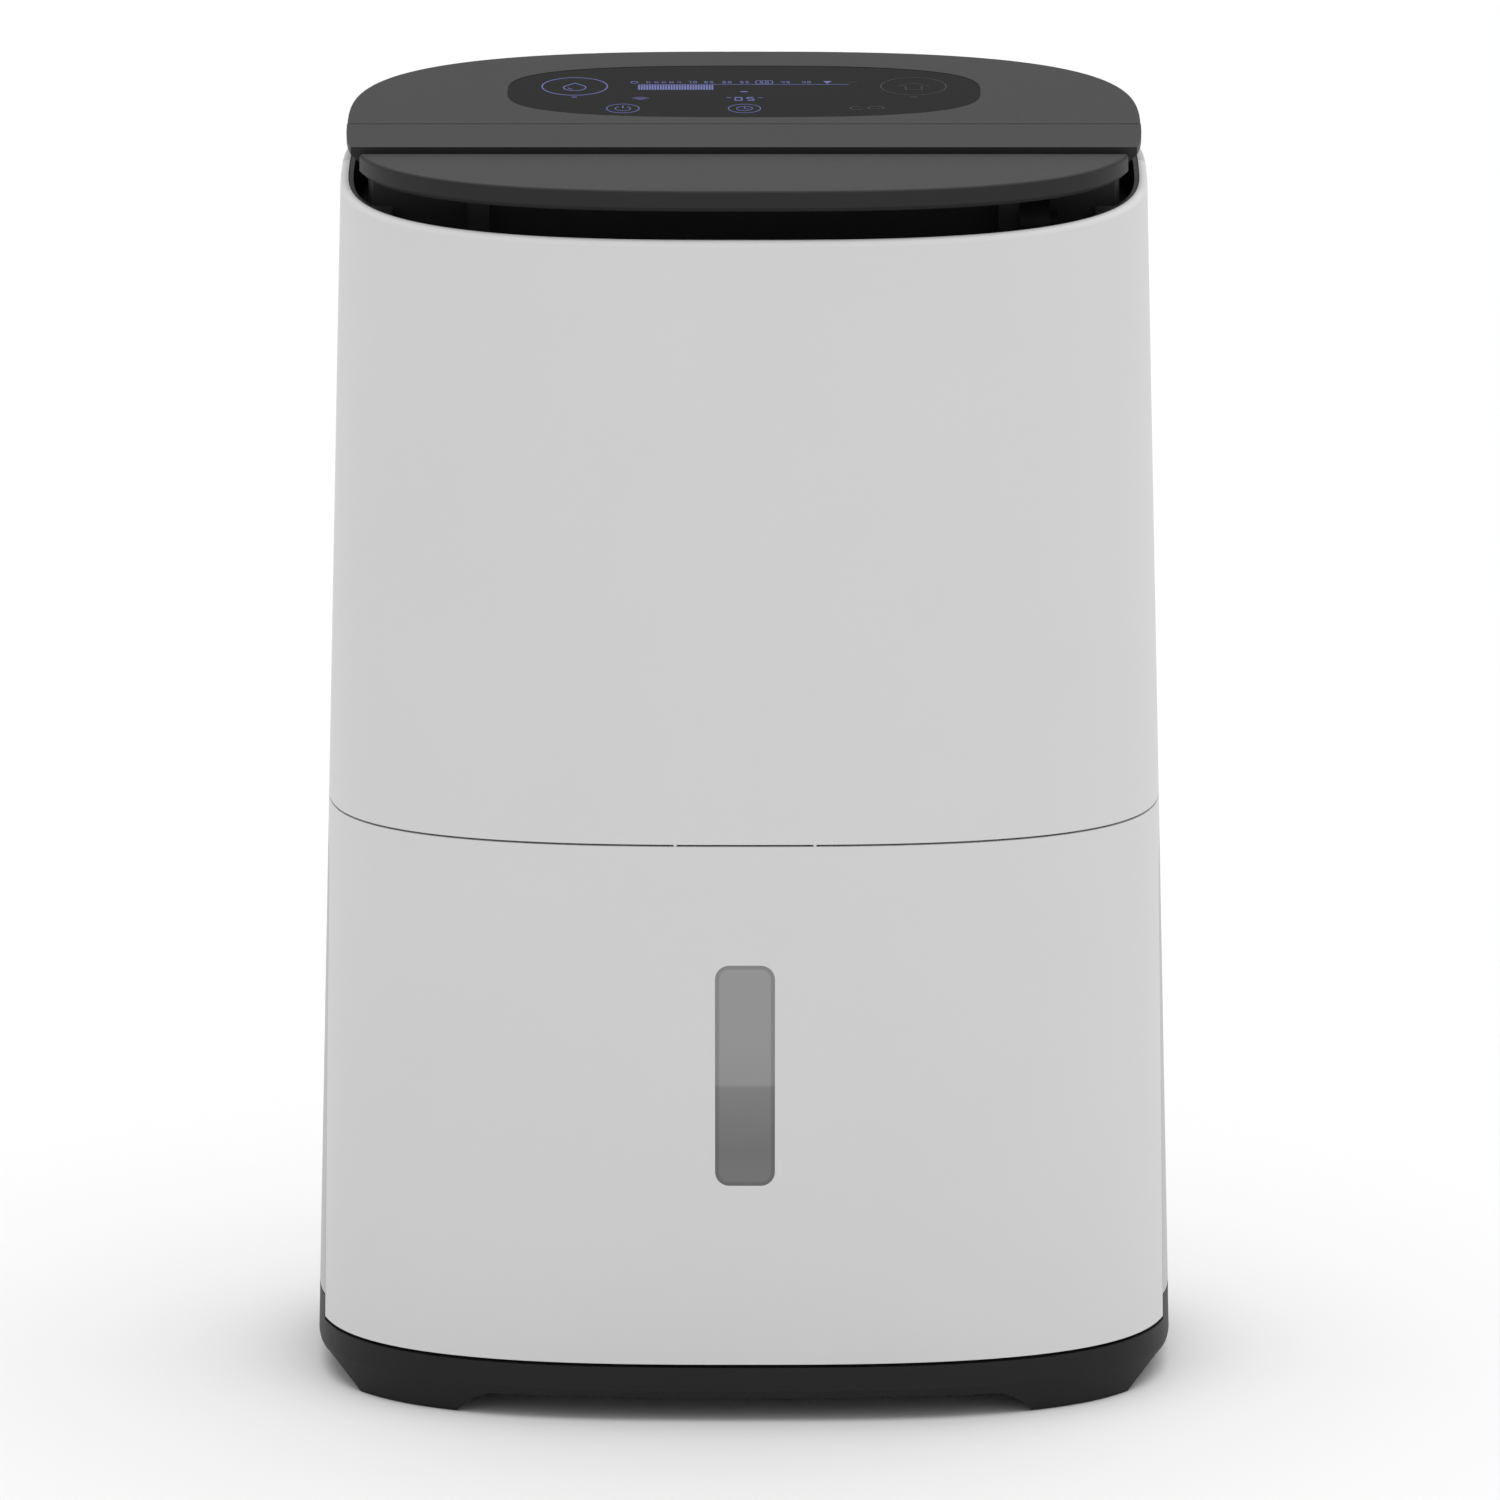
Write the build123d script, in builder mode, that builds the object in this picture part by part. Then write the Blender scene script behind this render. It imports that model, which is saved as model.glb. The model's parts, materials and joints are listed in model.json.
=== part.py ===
from build123d import *
import math
import os

os.makedirs("parts", exist_ok=True)

# ---------------------------------------------------------------- driving dimensions (mm)
HALF_WIDTH = 161.9        # half width of the body surface, extended down to the floor
DRAFT = 0.0258            # half width lost per mm of height
DEPTH_RATIO = 0.67        # depth of the body over its width
EXP_X, EXP_Y = 2.8, 3.0   # exponents of the oval plan
WALL = 2.9                # housing wall
RIM_Z = 455.8             # height of the sloping rim plane over the origin
TILT = 5.8                # slope of the top, rising to the back (degrees)
SEAM_Z = 220.0            # joint between upper housing and tank panel
PANEL_Z = 22.3            # lower edge of tank panel and rear cover
BASE_TOP = 21.0
BASE_BACK = 30.0         # base top behind the tank panel
LID_A, LID_B = 147.8, 99.0      # oval of the top, in its own sloping plane
LID_TOP, LID_BOT = 17.25, 10.05 # top and underside of the lid above the rim plane
COVER_V = -3.0            # front edge of the control cover
HANDLE_V0, HANDLE_V1 = -3.7, -35.0
LOUVRE_V = -37.2          # rear edge of the louvre
LOUVRE_AXIS = (-45.0, 9.6)      # louvre hinge axis in the sloping plane: (v, w)
HANDLE_POST_X, HANDLE_POST_V, HANDLE_POST_R = 112.0, -19.5, 5.5
TANK_BOTTOM = 25.0

SIN, COS = math.sin(math.radians(TILT)), math.cos(math.radians(TILT))
RIM = Plane(origin=(0, 0, RIM_Z), x_dir=(1, 0, 0), z_dir=(0, -SIN, COS))


def a_at(z):
    return HALF_WIDTH - DRAFT * z


def oval(a, b, inset=0.0, steps=48):
    """Points of the oval plan, moved inwards along its normal."""
    pts = []
    for i in range(steps):
        t = 2 * math.pi * i / steps
        c, s = math.cos(t), math.sin(t)
        x = math.copysign(abs(c) ** (2 / EXP_X), c) * a if abs(c) > 1e-9 else 0.0
        y = math.copysign(abs(s) ** (2 / EXP_Y), s) * b if abs(s) > 1e-9 else 0.0
        gx = EXP_X / a * abs(x / a) ** (EXP_X - 1) * (1 if x >= 0 else -1)
        gy = EXP_Y / b * abs(y / b) ** (EXP_Y - 1) * (1 if y >= 0 else -1)
        g = math.hypot(gx, gy)
        pts.append((x - inset * gx / g, y - inset * gy / g))
    return pts


def oval_y(a, b, x):
    return b * (1 - min(1.0, abs(x) / a) ** EXP_X) ** (1 / EXP_Y)


def row(v, w, u=0.0):
    """Row-frame point of (u, v, w) in the sloping plane's coordinates."""
    return (u, v * COS - w * SIN, RIM_Z + v * SIN + w * COS)


def body_section(z, inset):
    with BuildSketch(Plane.XY.offset(z)) as s:
        with BuildLine():
            Spline(oval(a_at(z), a_at(z) * DEPTH_RATIO, inset), periodic=True)
        make_face()
    return s.sketch


def body_core(z0, z1, inset):
    """Solid of the drafted body between two heights, inset from its surface."""
    with BuildPart() as p:
        loft([body_section(z0, inset).face(), body_section(z1, inset).face()])
    return p.part



# ---------------------------------------------------------------- places shared by several pieces (mm)
FAN_Z = 318.0
FAN_Y0, FAN_Y1 = -62.0, -2.0
COIL_ROWS = [247.5 + 25.0 * i for i in range(8)]
EVAP_Y, COND_Y = 67.0, 39.0
COMP_X, COMP_Y, COMP_R = -60.0, 50.0, 42.0
SPOUT_X, SPOUT_Y = 112.0, -40.0
SHELF_Z0, SHELF_Z1 = 213.0, 216.5
FLOOR_Z = 24.6
BULKHEAD_Y0, BULKHEAD_Y1 = -9.0, -6.0
INTAKE_X, INTAKE_Z0, INTAKE_Z1 = 108.0, 246.0, 424.0
GLAND_X, GLAND_Z, GLAND_BORE = 90.0, 60.0, 4.0
SPIGOT_X, SPIGOT_Z, SPIGOT_R = -60.0, 200.0, 6.5
SCREWS = [(-110.0, 204.0), (110.0, 204.0), (-118.0, 40.0), (118.0, 40.0)]
SCREW_SEAT_Y = 78.0
WINDOW_X, WINDOW_W, WINDOW_Z0, WINDOW_Z1, WINDOW_R = 0.4, 22.2, 90.9, 174.7, 5.3
BAIL_Y, BAIL_Z, BAIL_ARM, BAIL_X = -55.0, 179.0, 28.0, 93.5
FLOAT_Y, FLOAT_Z = -26.0, 158.0
TANK_X = 132.0
LID_Z = 172.0
FOOT_X, FOOT_Y = 120.0, 74.0


def box(x0, x1, y0, y1, z0, z1, mode=Mode.ADD):
    with Locations(((x0 + x1) / 2, (y0 + y1) / 2, (z0 + z1) / 2)):
        Box(x1 - x0, y1 - y0, z1 - z0, mode=mode)


def rod_x(x0, x1, y, z, r, mode=Mode.ADD):
    with Locations(((x0 + x1) / 2, y, z)):
        Cylinder(r, x1 - x0, rotation=(0, 90, 0), mode=mode)


def rod_y(x, y0, y1, z, r, mode=Mode.ADD):
    with Locations((x, (y0 + y1) / 2, z)):
        Cylinder(r, y1 - y0, rotation=(90, 0, 0), mode=mode)


def rod_z(x, y, z0, z1, r, mode=Mode.ADD):
    with Locations((x, y, (z0 + z1) / 2)):
        Cylinder(r, z1 - z0, mode=mode)


def pipe(points, radius, bend):
    with BuildPart() as p:
        with BuildLine() as path:
            FilletPolyline(*points, radius=bend)
        with BuildSketch(Plane(origin=path.line @ 0, z_dir=path.line % 0)):
            Circle(radius)
        sweep()
    return p.part


def band(w0, w1, inset, v0=None, v1=None, plane=RIM, dv=0.0, a=LID_A):
    """Part of the lid oval between two lines of the sloping plane, from w0 up to w1."""
    with BuildPart() as p:
        with BuildSketch(plane.offset(w0)):
            with BuildLine():
                Spline([(u, v + dv) for u, v in oval(a, LID_B, inset)], periodic=True)
            make_face()
            if v0 is not None:
                with Locations((0, v0 + dv - 200)):
                    Rectangle(600, 400, mode=Mode.SUBTRACT)
            if v1 is not None:
                with Locations((0, v1 + dv + 200)):
                    Rectangle(600, 400, mode=Mode.SUBTRACT)
        extrude(amount=w1 - w0)
    return p.part


def save(item, name):
    item.part.label = name
    export_step(item.part, "parts/" + name + ".step")
    print(name, round(item.part.volume), len(item.part.solids()))


# ---------------------------------------------------------------- outer mouldings
with BuildPart() as outer:
    add(body_core(PANEL_Z, 480, 0))
    split(bisect_by=RIM, keep=Keep.BOTTOM)
    fillet(outer.edges().filter_by(lambda e: abs(RIM.to_local_coords(e.center()).Z) < 0.05).sort_by(lambda e: e.length)[-1], 2.0)
with BuildPart() as inner:
    add(body_core(PANEL_Z - 5, 490, WALL))

# room inside, with the screw cups, the drain recess and the boss of the cable gland left standing
with BuildPart() as room:
    add(inner.part)
    for sx, sz in SCREWS:
        rod_y(sx, SCREW_SEAT_Y - 2, 130, sz, 7, mode=Mode.SUBTRACT)
    rod_y(SPIGOT_X, 84, 130, SPIGOT_Z, 17, mode=Mode.SUBTRACT)
    rod_y(GLAND_X, 90, 130, GLAND_Z, 14, mode=Mode.SUBTRACT)
with BuildPart() as rear_cover:
    add(outer.part)
    with BuildSketch(Plane.YZ):
        with BuildLine():
            Line((-39.4, BASE_BACK + 0.6), (-29.0, 188))
            TangentArc((-29.0, 188), (-10.5, 213.5), tangent=(10.4, 157.4))
            Line((-10.5, 213.5), (-8.0, 214.2))
            Line((-8.0, 214.2), (-8.0, SEAM_Z - 0.4))
            Line((-8.0, SEAM_Z - 0.4), (8.2, SEAM_Z - 0.4))
            Line((8.2, SEAM_Z - 0.4), (8.2, 500))
            Line((8.2, 500), (200, 500))
            Line((200, 500), (200, BASE_BACK + 0.6))
            Line((200, BASE_BACK + 0.6), (-39.4, BASE_BACK + 0.6))
        make_face()
    extrude(amount=200, both=True, mode=Mode.INTERSECT)
    add(room.part, mode=Mode.SUBTRACT)
    for sx, sz in SCREWS:
        rod_y(sx, SCREW_SEAT_Y, 140, sz, 5, mode=Mode.SUBTRACT)
        rod_y(sx, SCREW_SEAT_Y - 5, 100, sz, 2, mode=Mode.SUBTRACT)
    rod_y(SPIGOT_X, 86, 140, SPIGOT_Z, 15, mode=Mode.SUBTRACT)
    rod_y(SPIGOT_X, 80, 90, SPIGOT_Z, 6, mode=Mode.SUBTRACT)
    rod_y(GLAND_X, 80, 130, GLAND_Z, 8, mode=Mode.SUBTRACT)
    rod_y(GLAND_X, 97, 130, GLAND_Z, 12, mode=Mode.SUBTRACT)
    box(-INTAKE_X - 0.6, INTAKE_X + 0.6, 0, 150, INTAKE_Z0 - 0.6, INTAKE_Z1 + 0.6, mode=Mode.SUBTRACT)
save(rear_cover, "rear_cover")

with BuildPart() as front_cover:
    add(outer.part)
    with BuildSketch(Plane.YZ):
        with BuildLine():
            Polyline((-200, SEAM_Z + 0.4), (8.2, SEAM_Z + 0.4), (8.2, 500), (-200, 500), close=True)
        make_face()
    extrude(amount=200, both=True, mode=Mode.INTERSECT)
    add(inner.part, mode=Mode.SUBTRACT)
save(front_cover, "front_cover")

with BuildPart() as slot:
    with BuildSketch(Plane.XZ.offset(80)):
        with Locations((WINDOW_X, (WINDOW_Z0 + WINDOW_Z1) / 2)):
            RectangleRounded(WINDOW_W, WINDOW_Z1 - WINDOW_Z0, WINDOW_R)
    extrude(amount=60)
with BuildPart() as tank_panel:
    add(outer.part)
    with BuildSketch(Plane.YZ):
        with BuildLine():
            Line((-40.6, PANEL_Z), (-29.6, 188.3))
            TangentArc((-29.6, 188.3), (-10.9, 214.0), tangent=(11.0, 166.0))
            Line((-10.9, 214.0), (-8.6, 214.7))
            Line((-8.6, 214.7), (-8.6, SEAM_Z - 0.4))
            Line((-8.6, SEAM_Z - 0.4), (-200, SEAM_Z - 0.4))
            Line((-200, SEAM_Z - 0.4), (-200, PANEL_Z))
            Line((-200, PANEL_Z), (-40.6, PANEL_Z))
        make_face()
    extrude(amount=200, both=True, mode=Mode.INTERSECT)
    add(inner.part, mode=Mode.SUBTRACT)
    add(slot.part, mode=Mode.SUBTRACT)
save(tank_panel, "tank_panel")

with BuildPart() as tank_window:
    add(outer.part)
    add(inner.part, mode=Mode.SUBTRACT)
    add(slot.part, mode=Mode.INTERSECT)
save(tank_window, "tank_window")

# removable grille of the air intake, with its filter behind it
with BuildPart() as slots:
    with Locations(*[(x, 100, z) for x in (-75.0, -25.0, 25.0, 75.0) for z in [INTAKE_Z0 + 13 + 8.0 * i for i in range(20)]]):
        Box(46, 80, 4.6)
with BuildPart() as intake_grille:
    add(outer.part)
    add(inner.part, mode=Mode.SUBTRACT)
    box(-INTAKE_X, INTAKE_X, 60, 150, INTAKE_Z0, INTAKE_Z1, mode=Mode.INTERSECT)
    add(slots.part, mode=Mode.SUBTRACT)
    for x in (-90.0, 90.0):
        for z in (INTAKE_Z0 + 9, INTAKE_Z1 - 9):
            box(x - 2, x + 2, 84, 95, z - 4, z + 4)
    add(outer.part, mode=Mode.INTERSECT)
save(intake_grille, "intake_grille")

with BuildPart() as filter_frame:
    box(-96, 96, 80, 84, 251, 419)
    box(-90, 90, 70, 90, 257, 413, mode=Mode.SUBTRACT)
    box(-1.5, 1.5, 82.4, 84, 257, 413)
    box(-31.5, -28.5, 82.4, 84, 257, 413)
    box(58.5 - 30, 31.5, 82.4, 84, 257, 413)
    box(-90, 90, 82.4, 84, 333.5, 336.5)
save(filter_frame, "filter_frame")

with BuildPart() as filter_mesh:
    box(-90, 90, 81.6, 82.4, 257, 413)
save(filter_mesh, "filter_mesh")

# ---------------------------------------------------------------- base, feet
with BuildPart() as cut_front:
    box(-200, 200, -200, -40.0, BASE_TOP, BASE_BACK + 5)
# the skirt draws in towards the floor
with BuildPart() as skirt:
    loft([body_section(0.3, 2.7).face(), body_section(12, 0).face()])
with BuildPart() as tray:
    add(body_core(7.1, 13.0, 8.0))
    box(-101, 101, -120, 120, 7.0, 13.1, mode=Mode.INTERSECT)
with BuildPart() as side_tray:
    add(body_core(11.0, 14.0, 3.6))
    box(-170, 170, -95, 95, 10.9, 14.1, mode=Mode.INTERSECT)
with BuildPart() as base_pan:
    add(body_core(12, BASE_BACK, 0))
    add(cut_front.part, mode=Mode.SUBTRACT)
    add(skirt.part)
    add(body_core(10.5, BASE_BACK + 5, 4.2), mode=Mode.SUBTRACT)
    with BuildSketch(Plane.XZ):
        with BuildLine():
            Line((-107.5, 0), (107.5, 0))
            ThreePointArc((107.5, 0), (102.5, 5.2), (94.8, 8.7))
            Line((94.8, 8.7), (60, 9.3))
            Line((60, 9.3), (-60, 9.3))
            Line((-60, 9.3), (-94.8, 8.7))
            ThreePointArc((-94.8, 8.7), (-102.5, 5.2), (-107.5, 0))
        make_face()
    extrude(amount=200, both=True, mode=Mode.SUBTRACT)
    with BuildSketch(Plane.YZ):
        with BuildLine():
            Line((-66.5, 0), (66.5, 0))
            ThreePointArc((66.5, 0), (60, 5.6), (48, 10.2))
            Line((48, 10.2), (0, 11.6))
            Line((0, 11.6), (-48, 10.2))
            ThreePointArc((-48, 10.2), (-60, 5.6), (-66.5, 0))
        make_face()
    extrude(amount=200, both=True, mode=Mode.SUBTRACT)
    add(tray.part)
    add(side_tray.part)
    for x in (-90.0, 0.0, 90.0):
        box(x - 1.5, x + 1.5, -80, 80, 11.5, BASE_TOP)
    for y in (-60.0, 0.0, 60.0):
        box(-120, 120, y - 1.5, y + 1.5, 12.5, BASE_TOP)
    for x in (-30.5, 30.5):
        rod_z(x, -84, 5.5, 8, 3)
    for x in (-FOOT_X, FOOT_X):
        for y in (-FOOT_Y, FOOT_Y):
            rod_z(x, y, 0, 2.6, 8, mode=Mode.SUBTRACT)
save(base_pan, "base_pan")

with BuildPart() as foot_pads:
    for x in (-FOOT_X, FOOT_X):
        for y in (-FOOT_Y, FOOT_Y):
            rod_z(x, y, 0, 2.6, 8)
save(foot_pads, "foot_pads")

# ---------------------------------------------------------------- chassis: floor, bulkhead, shelf
with BuildPart() as hull:
    add(body_core(PANEL_Z - 5, 300, WALL + 1.7))
with BuildPart() as chassis:
    box(-170, 170, -120, 120, BASE_TOP, FLOOR_Z)
    box(-170, 170, BULKHEAD_Y0, BULKHEAD_Y1, BASE_TOP, SHELF_Z0)
    box(-170, 170, -120, 120, SHELF_Z0, SHELF_Z1)
    for sx, sz in SCREWS:
        rod_y(sx, SCREW_SEAT_Y - 14, SCREW_SEAT_Y - 2, sz, 6)
        if sz > 100:
            box(sx - 3, sx + 3, SCREW_SEAT_Y - 14, SCREW_SEAT_Y - 2, sz, SHELF_Z0)
        else:
            box(sx - 3, sx + 3, SCREW_SEAT_Y - 14, SCREW_SEAT_Y - 2, BASE_TOP, sz)
    for x in (-140.0, 140.0):
        box(x - 1.5, x + 1.5, BULKHEAD_Y1 - 1, 30, BASE_TOP, SHELF_Z0)
    add(hull.part, mode=Mode.INTERSECT)
    for sx, sz in SCREWS:
        rod_y(sx, SCREW_SEAT_Y - 14, SCREW_SEAT_Y - 2, sz, 2, mode=Mode.SUBTRACT)
    box(115, 137, 34, 73, SHELF_Z0 - 1, SHELF_Z1 + 1, mode=Mode.SUBTRACT)
    rod_z(SPOUT_X, SPOUT_Y, SHELF_Z0 - 1, SHELF_Z1 + 1, 6, mode=Mode.SUBTRACT)
    rod_z(SPIGOT_X, 76, SHELF_Z0 - 1, SHELF_Z1 + 1, 5, mode=Mode.SUBTRACT)
    box(SPIGOT_X - 13, SPIGOT_X + 13, 83.6, 130, SHELF_Z0 - 1, SHELF_Z1 + 1, mode=Mode.SUBTRACT)
save(chassis, "chassis")

with BuildPart() as cover_screws:
    for sx, sz in SCREWS:
        rod_y(sx, SCREW_SEAT_Y, SCREW_SEAT_Y + 3, sz, 4.2)
        rod_y(sx, SCREW_SEAT_Y - 12, SCREW_SEAT_Y, sz, 2)
        box(sx - 2.8, sx + 2.8, SCREW_SEAT_Y + 1.6, SCREW_SEAT_Y + 3.5, sz - 0.5, sz + 0.5, mode=Mode.SUBTRACT)
        box(sx - 0.5, sx + 0.5, SCREW_SEAT_Y + 1.6, SCREW_SEAT_Y + 3.5, sz - 2.8, sz + 2.8, mode=Mode.SUBTRACT)
save(cover_screws, "cover_screws")

with BuildPart() as cable_gland:
    rod_y(GLAND_X, 97, 100.5, GLAND_Z, 12)
    rod_y(GLAND_X, 84, 97, GLAND_Z, 8)
    rod_y(GLAND_X, 80, 110, GLAND_Z, GLAND_BORE, mode=Mode.SUBTRACT)
save(cable_gland, "cable_gland")

# ---------------------------------------------------------------- water tank
with BuildPart() as tank_out:
    add(body_core(TANK_BOTTOM, LID_Z, WALL + 0.1))
    box(-TANK_X, TANK_X, -130, -12, 0, 300, mode=Mode.INTERSECT)
with BuildPart() as tank_in:
    add(body_core(TANK_BOTTOM + 2, LID_Z + 5, WALL + 2.1))
    box(-TANK_X + 2, TANK_X - 2, -130, -14, 0, 300, mode=Mode.INTERSECT)
with BuildPart() as water_tank:
    add(tank_out.part)
    add(tank_in.part, mode=Mode.SUBTRACT)
    # cheeks and pin of the float
    box(-118, -116, -29, -12, 154, 162)
    box(-104, -102, -29, -12, 154, 162)
    rod_x(-117, -103, FLOAT_Y, FLOAT_Z, 2)
save(water_tank, "water_tank")

with BuildPart() as lid_out:
    add(body_core(LID_Z, LID_Z + 2.6, WALL + 0.1))
    box(-TANK_X, TANK_X, -130, -12, 0, 300, mode=Mode.INTERSECT)
with BuildPart() as tank_lid:
    add(lid_out.part)
    rod_z(SPOUT_X, SPOUT_Y, LID_Z - 1, LID_Z + 4, 12, mode=Mode.SUBTRACT)
    for s in (-1, 1):
        box(s * 99 - 2, s * 99 + 2, BAIL_Y - 5, BAIL_Y + 5, LID_Z + 2, BAIL_Z)
        rod_x(s * 99 - 2, s * 99 + 2, BAIL_Y, BAIL_Z, 5)
        rod_x(s * 94 - 4, s * 94 + 4, BAIL_Y, BAIL_Z, 2.5)
save(tank_lid, "tank_lid")

with BuildPart() as tank_bail:
    add(pipe([(-BAIL_X, BAIL_Y + 2, BAIL_Z), (-BAIL_X, BAIL_Y + BAIL_ARM, BAIL_Z), (BAIL_X, BAIL_Y + BAIL_ARM, BAIL_Z), (BAIL_X, BAIL_Y + 2, BAIL_Z)], 2.8, 6))
    for s in (-1, 1):
        rod_x(s * BAIL_X - 3, s * BAIL_X + 3, BAIL_Y, BAIL_Z, 4.1)
    for s in (-1, 1):
        rod_x(s * BAIL_X - 5, s * BAIL_X + 5, BAIL_Y, BAIL_Z, 2.56, mode=Mode.SUBTRACT)
save(tank_bail, "tank_bail")

with BuildPart() as tank_float:
    rod_x(-115, -105, FLOAT_Y, FLOAT_Z, 4.4)
    box(-113, -107, -60, FLOAT_Y, 154, 160)
    box(-122, -98, -72, -48, 136, 155)
    fillet(tank_float.edges().filter_by(Axis.Z).filter_by(lambda e: e.length > 15), 4)
    rod_x(-120, -100, FLOAT_Y, FLOAT_Z, 2.06, mode=Mode.SUBTRACT)
save(tank_float, "tank_float")

with BuildPart() as float_magnet:
    rod_z(-110, -66, 155, 158, 4)
save(float_magnet, "float_magnet")

with BuildPart() as tank_switch:
    box(-118, -102, BULKHEAD_Y1, 6, 144, 164)
    box(-114, -106, 6, 9, 148, 152)
    box(-114, -106, 6, 9, 156, 160)
save(tank_switch, "tank_switch")

# ---------------------------------------------------------------- refrigeration
with BuildPart() as compressor_shell:
    with BuildSketch(Plane(origin=(COMP_X, COMP_Y, 0), x_dir=(1, 0, 0), z_dir=(0, -1, 0))):
        with BuildLine():
            Line((0, 38.5), (28, 38.5))
            Line((28, 38.5), (37, 47))
            ThreePointArc((37, 47), (40.8, 52), (COMP_R, 58))
            Line((COMP_R, 58), (COMP_R, 106))
            Line((COMP_R, 106), (COMP_R + 1.4, 106))
            Line((COMP_R + 1.4, 106), (COMP_R + 1.4, 110))
            Line((COMP_R + 1.4, 110), (COMP_R, 110))
            Line((COMP_R, 110), (COMP_R, 150))
            ThreePointArc((COMP_R, 150), (33, 169.5), (12, 179))
            Line((12, 179), (0, 180))
            Line((0, 180), (0, 38.5))
        make_face()
    revolve(axis=Axis((COMP_X, COMP_Y, 0), (0, 0, 1)))
    with BuildSketch(Plane.XY.offset(36)):
        with Locations(*[(COMP_X + 46.5 * math.cos(math.radians(t)), COMP_Y + 46.5 * math.sin(math.radians(t))) for t in (30, 150, 270)]):
            Circle(8.2)
        with Locations((COMP_X, COMP_Y)):
            Circle(43)
        with Locations(*[(COMP_X + 46.5 * math.cos(math.radians(t)), COMP_Y + 46.5 * math.sin(math.radians(t))) for t in (30, 150, 270)]):
            Circle(3, mode=Mode.SUBTRACT)
    extrude(amount=2.5)

COMP_FEET = [(COMP_X + 46.5 * math.cos(math.radians(t)), COMP_Y + 46.5 * math.sin(math.radians(t))) for t in (30, 150, 270)]
with BuildPart() as compressor_grommets:
    for x, y in COMP_FEET:
        rod_z(x, y, FLOOR_Z, 36, 8)
        rod_z(x, y, 28, 32, 9)
        rod_z(x, y, FLOOR_Z - 1, 37, 3, mode=Mode.SUBTRACT)
save(compressor_grommets, "compressor_grommets")

with BuildPart() as compressor_bolts:
    for x, y in COMP_FEET:
        rod_z(x, y, FLOOR_Z, 40, 3)
        with BuildSketch(Plane.XY.offset(38.5)):
            with Locations((x, y)):
                RegularPolygon(5.5, 6)
        extrude(amount=4)
save(compressor_bolts, "compressor_bolts")
save(compressor_shell, "compressor_shell")

with BuildPart() as terminal_cover:
    box(-120, -96, 36, 64, 62, 98)
    fillet(terminal_cover.edges().filter_by(Axis.Z), 4)
    add(compressor_shell.part, mode=Mode.SUBTRACT)
save(terminal_cover, "terminal_cover")


def coil_tube(y):
    with BuildPart() as p:
        with BuildLine() as path:
            lines = []
            for i, z in enumerate(COIL_ROWS):
                x0, x1 = (110.0 if i == 0 else 100.0), -100.0
                if i == len(COIL_ROWS) - 1:
                    Line((x1, y, z), (110, y, z))
                elif i % 2 == 0:
                    Line((x0, y, z), (x1, y, z))
                    ThreePointArc((x1, y, z), (x1 - 12.5, y, z + 12.5), (x1, y, z + 25))
                else:
                    Line((x1, y, z), (100, y, z))
                    ThreePointArc((100, y, z), (112.5, y, z + 12.5), (100, y, z + 25))
        with BuildSketch(Plane(origin=(110, y, COIL_ROWS[0]), z_dir=(-1, 0, 0))):
            Circle(4)
        sweep(path=path.wires()[0])
    return p.part


def coil_fins(y):
    with BuildPart() as p:
        for k in range(49):
            x = -96.0 + 4.0 * k
            with BuildSketch(Plane.YZ.offset(x - 0.25)):
                with Locations((y, (236 + 432) / 2)):
                    Rectangle(20, 432 - 236)
                with Locations(*[(y, z) for z in COIL_ROWS]):
                    Circle(4, mode=Mode.SUBTRACT)
            extrude(amount=0.5)
    return p.part


with BuildPart() as evaporator_tubes:
    add(coil_tube(EVAP_Y))
save(evaporator_tubes, "evaporator_tubes")
with BuildPart() as evaporator_fins:
    add(coil_fins(EVAP_Y))
save(evaporator_fins, "evaporator_fins")
with BuildPart() as condenser_tubes:
    add(coil_tube(COND_Y))
save(condenser_tubes, "condenser_tubes")
with BuildPart() as condenser_fins:
    add(coil_fins(COND_Y))
save(condenser_fins, "condenser_fins")

# end plates that hold both coils
with BuildPart() as coil_plates:
    for x0, x1 in ((-99.5, -98.3), (98.3, 99.5)):
        box(x0, x1, 28, 79, 232, 434)
    for y in (EVAP_Y, COND_Y):
        for z in COIL_ROWS:
            rod_x(-101, 101, y, z, 4, mode=Mode.SUBTRACT)
save(coil_plates, "coil_plates")

with BuildPart() as suction_pipe:
    add(pipe([(-30, 67, 110), (20, 67, 110), (20, 67, 186), (122, 67, 186), (122, 67, COIL_ROWS[0]), (110, 67, COIL_ROWS[0])], 4.0, 9))
    add(compressor_shell.part, mode=Mode.SUBTRACT)
save(suction_pipe, "suction_pipe")

with BuildPart() as discharge_pipe:
    add(pipe([(-30, 52, 140), (6, 52, 140), (6, 52, 204), (130, 52, 204), (130, 52, COIL_ROWS[-1]), (130, 39, COIL_ROWS[-1]), (110, 39, COIL_ROWS[-1])], 3.0, 6))
    add(compressor_shell.part, mode=Mode.SUBTRACT)
save(discharge_pipe, "discharge_pipe")

with BuildPart() as filter_drier:
    rod_z(60, 39, 84, 156, 9)
    rod_z(60, 39, 78, 162, 5)
save(filter_drier, "filter_drier")

with BuildPart() as liquid_pipe:
    add(pipe([(110, 39, COIL_ROWS[0]), (122, 39, COIL_ROWS[0]), (122, 39, 176), (60, 39, 176), (60, 39, 162)], 3.0, 6))
save(liquid_pipe, "liquid_pipe")

with BuildPart() as capillary_tube:
    add(pipe([(60, 39, 78), (60, 39, 60), (127, 39, 60), (127, 60, 60), (127, 60, COIL_ROWS[-1]), (127, 67, COIL_ROWS[-1]), (110, 67, COIL_ROWS[-1])], 1.3, 2.4))
save(capillary_tube, "capillary_tube")

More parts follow.
